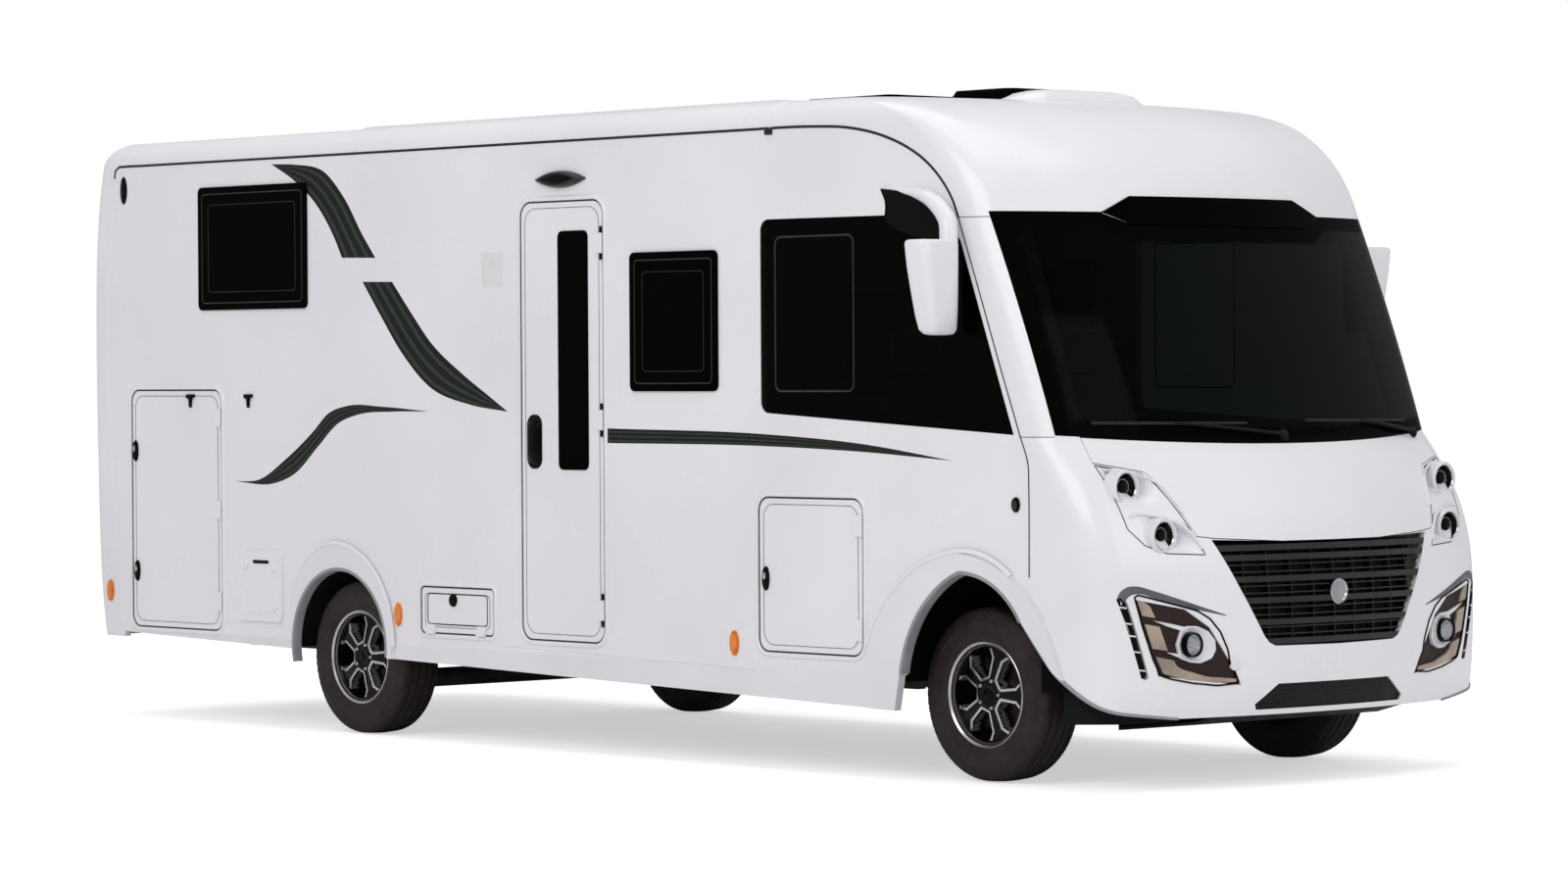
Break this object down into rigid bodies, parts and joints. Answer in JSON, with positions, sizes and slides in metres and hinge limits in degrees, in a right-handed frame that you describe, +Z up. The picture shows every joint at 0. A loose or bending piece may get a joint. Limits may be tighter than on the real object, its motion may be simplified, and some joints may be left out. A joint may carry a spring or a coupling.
{
  "type": "motorhome",
  "caption": "Integrated coach-built motorhome with moulded front, panoramic windscreen, hinged doors and hatches, steered front wheels and rolling rear wheels.",
  "frame": {"origin": "on the ground under the middle of the vehicle", "axes": "+X forward, +Y to the left side, +Z up"},
  "size_m": [7.4502, 2.87, 2.9369],
  "materials": {
    "white_gelcoat": "glossy white moulded and sheet glass-fibre",
    "skirt_paint": "white powder-coated aluminium",
    "dark_glass": "dark tinted",
    "black_plastic": "grained black",
    "grille_plastic": "satin black-brown",
    "lamp_lens": "clear",
    "red_lens": "clear red",
    "amber_lens": "clear amber",
    "tyre_rubber": "matte",
    "wheel_alloy": "gloss black with machined edges",
    "chassis_steel": "black waxed steel",
    "cast_block": "rough",
    "tank_plastic": "moulded",
    "floor_board": "laminated board",
    "seat_cloth": "woven",
    "seat_frame": "satin"
  },
  "bodies": {
    "coach": {"awning_lamp": "lamp_lens", "bed_base": "floor_board", "body_windows_left": "dark_glass", "body_windows_right": "dark_glass", "cab_window_left": "dark_glass", "cab_window_right": "dark_glass", "chassis_frame": "chassis_steel", "dashboard": "black_plastic", "engine_block": "cast_block", "floor": "floor_board", "fog_bezels": "black_plastic", "fog_lamps": "lamp_lens", "front_cap": "white_gelcoat", "front_mask": "white_gelcoat", "front_suspension": "chassis_steel", "grille": "grille_plastic", "headlamp_modules": "white_gelcoat", "headlamps": "lamp_lens", "lower_grille": "black_plastic", "mirrors": "white_gelcoat", "name_panel": "black_plastic", "rear_axle": "chassis_steel", "rear_bumper": "white_gelcoat", "rear_wall": "white_gelcoat", "roof": "white_gelcoat", "seat_bases": "seat_frame", "seats": "seat_cloth", "service_cover": "white_gelcoat", "side_markers": "amber_lens", "side_wall_left": "white_gelcoat", "side_wall_right": "white_gelcoat", "skirt_left": "skirt_paint", "skirt_right": "skirt_paint", "skylights": "dark_glass", "steering_wheel": "black_plastic", "tail_lamps": "red_lens", "under_tank": "tank_plastic", "wheel_houses": "black_plastic", "windscreen": "dark_glass", "wipers": "black_plastic"},
    "knuckle_right": {"knuckle_right": "chassis_steel"},
    "wheel_front_right": {"rim_front_right": "wheel_alloy", "tyre_front_right": "tyre_rubber"},
    "wheel_rear_right": {"rim_rear_right": "wheel_alloy", "tyre_rear_right": "tyre_rubber"},
    "garage_door_right": {"garage_door_right": "white_gelcoat"},
    "locker_door_right": {"locker_door_right": "white_gelcoat"},
    "knuckle_left": {"knuckle_left": "chassis_steel"},
    "wheel_front_left": {"rim_front_left": "wheel_alloy", "tyre_front_left": "tyre_rubber"},
    "wheel_rear_left": {"rim_rear_left": "wheel_alloy", "tyre_rear_left": "tyre_rubber"},
    "garage_door_left": {"garage_door_left": "white_gelcoat"},
    "locker_door_left": {"locker_door_left": "white_gelcoat"},
    "bonnet": {"bonnet": "white_gelcoat"},
    "entry_door": {"entry_door": "white_gelcoat", "entry_door_window": "dark_glass", "entry_door_handle": "black_plastic"},
    "service_hatch": {"service_hatch": "white_gelcoat"}
  },
  "joints": [
    {"name": "steer_right", "type": "hinge", "parent": "coach", "child": "knuckle_right", "pos_m": [2.65, -0.8, 0.365], "axis": [0, 0, 1], "range_deg": [-30, 30]},
    {"name": "roll_front_right", "type": "hinge", "parent": "knuckle_right", "child": "wheel_front_right", "pos_m": [2.65, -0.89, 0.365], "axis": [0, 1, 0], "continuous": true},
    {"name": "roll_rear_right", "type": "hinge", "parent": "coach", "child": "wheel_rear_right", "pos_m": [-1.5, -1.01, 0.365], "axis": [0, 1, 0], "continuous": true},
    {"name": "garage_hinge_right", "type": "hinge", "parent": "coach", "child": "garage_door_right", "pos_m": [-2.5285, -1.187, 1.05], "axis": [0, 0, 1], "range_deg": [0, 172]},
    {"name": "locker_hinge_right", "type": "hinge", "parent": "coach", "child": "locker_door_right", "pos_m": [2.1035, -1.187, 0.84], "axis": [0, 0, 1], "range_deg": [0, 110]},
    {"name": "steer_left", "type": "hinge", "parent": "coach", "child": "knuckle_left", "pos_m": [2.65, 0.8, 0.365], "axis": [0, 0, 1], "range_deg": [-30, 30]},
    {"name": "roll_front_left", "type": "hinge", "parent": "knuckle_left", "child": "wheel_front_left", "pos_m": [2.65, 0.89, 0.365], "axis": [0, 1, 0], "continuous": true},
    {"name": "roll_rear_left", "type": "hinge", "parent": "coach", "child": "wheel_rear_left", "pos_m": [-1.5, 1.01, 0.365], "axis": [0, 1, 0], "continuous": true},
    {"name": "garage_hinge_left", "type": "hinge", "parent": "coach", "child": "garage_door_left", "pos_m": [-2.5285, 1.187, 1.05], "axis": [0, 0, -1], "range_deg": [0, 172]},
    {"name": "locker_hinge_left", "type": "hinge", "parent": "coach", "child": "locker_door_left", "pos_m": [2.1035, 1.187, 0.84], "axis": [0, 0, -1], "range_deg": [0, 110]},
    {"name": "entry_hinge", "type": "hinge", "parent": "coach", "child": "entry_door", "pos_m": [0.4035, -1.187, 1.5], "axis": [0, 0, 1], "range_deg": [0, 120]},
    {"name": "hatch_hinge", "type": "hinge", "parent": "coach", "child": "service_hatch", "pos_m": [-0.6625, -1.187, 0.5075], "axis": [1, 0, 0], "range_deg": [0, 110]},
    {"name": "bonnet_hinge", "type": "hinge", "parent": "coach", "child": "bonnet", "pos_m": [3.7, 0, 1.003], "axis": [0, 1, 0], "range_deg": [0, 85]}
  ],
  "couplings": [
    {"joint": "steer_left", "follows": "steer_right", "ratio": 1}
  ]
}
